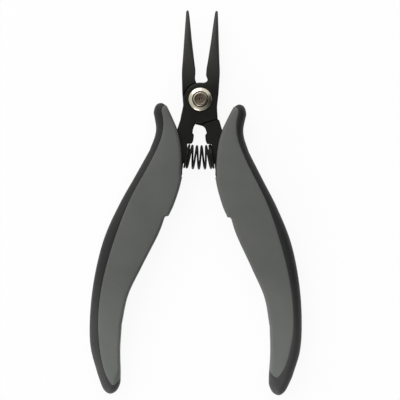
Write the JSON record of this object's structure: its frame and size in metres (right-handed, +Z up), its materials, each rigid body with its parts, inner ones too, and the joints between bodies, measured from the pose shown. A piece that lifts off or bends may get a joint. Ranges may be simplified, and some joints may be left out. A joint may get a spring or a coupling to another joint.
{
  "type": "round nose pliers",
  "caption": "Slim round nose pliers with tapered round jaws, a lapped rivet joint, a coil return spring and curved two-component grips.",
  "frame": {"origin": "on the rivet's axis, in the plane the pliers lie on, which is the rivet's flat rear end", "axes": "+Y to the jaw tips, +Z up along the rivet's axis, +X to the right-hand grip"},
  "size_m": [0.0806, 0.1464, 0.0096],
  "materials": {
    "black_steel": "matte black oxide on forged tool steel",
    "nickel": "satin nickel plate, turned",
    "rivet_steel": "browned steel with a bright chamfer",
    "spring_wire": "oil-blackened music wire",
    "grip_grey": "satin grey moulded plastic",
    "grip_dark": "soft matte charcoal elastomer"
  },
  "bodies": {
    "front_arm": {"front_half": "black_steel", "rivet": "rivet_steel", "front_washer": "nickel", "rear_washer": "nickel", "return_spring": "spring_wire", "left_grip_core": "grip_grey", "left_grip_soft_back": "grip_dark"},
    "rear_arm": {"rear_half": "black_steel", "right_grip_core": "grip_grey", "right_grip_soft_back": "grip_dark"}
  },
  "joints": [
    {"name": "jaw_pivot", "type": "hinge", "parent": "front_arm", "child": "rear_arm", "pos_m": [0, 0, 0.0048], "axis": [0, 0, -1], "range_deg": [0, 16.7], "stiffness_Nm_per_rad": 0.36, "springref_deg": -5.73, "deforming": ["return_spring"]}
  ]
}
